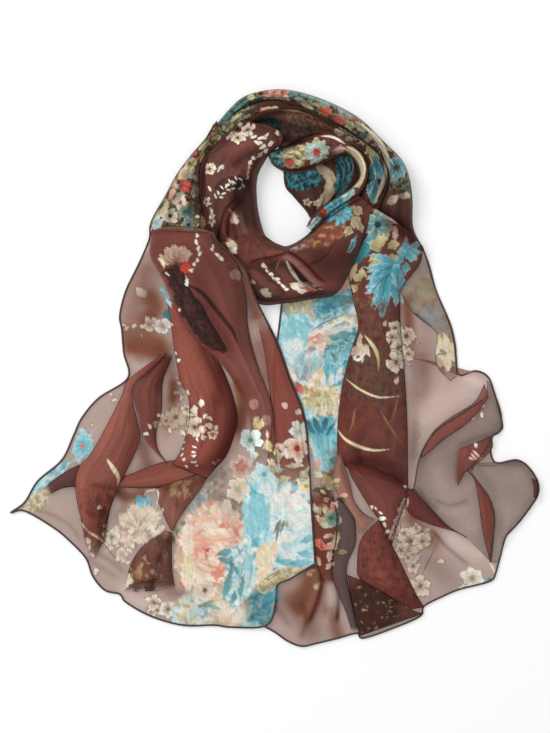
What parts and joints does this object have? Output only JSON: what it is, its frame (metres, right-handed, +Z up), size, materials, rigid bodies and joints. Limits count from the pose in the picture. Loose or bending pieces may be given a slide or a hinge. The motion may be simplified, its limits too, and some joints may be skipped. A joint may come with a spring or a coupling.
{
  "type": "chiffon scarf",
  "caption": "Long sheer printed scarf, wound into one loop with a hanging front fold, lying flat with both ends spread out in soft pleats.",
  "frame": {"origin": "on the surface that the scarf lies on, under the middle of its outline", "axes": "+X to the right and +Y towards the loop, seen from above; +Z up from the surface"},
  "size_m": [0.528, 0.5534, 0.0296],
  "materials": {
    "printed_chiffon": "sheer, soft sheen, printed"
  },
  "bodies": {
    "root": {"back_left": "printed_chiffon", "back_outer": "printed_chiffon", "back_second": "printed_chiffon", "back_inner": "printed_chiffon", "inner_curl": "printed_chiffon", "inner_wall": "printed_chiffon", "cowl_left": "printed_chiffon", "cowl_front": "printed_chiffon", "left_end": "printed_chiffon", "under_end": "printed_chiffon", "right_end": "printed_chiffon"}
  },
  "joints": []
}
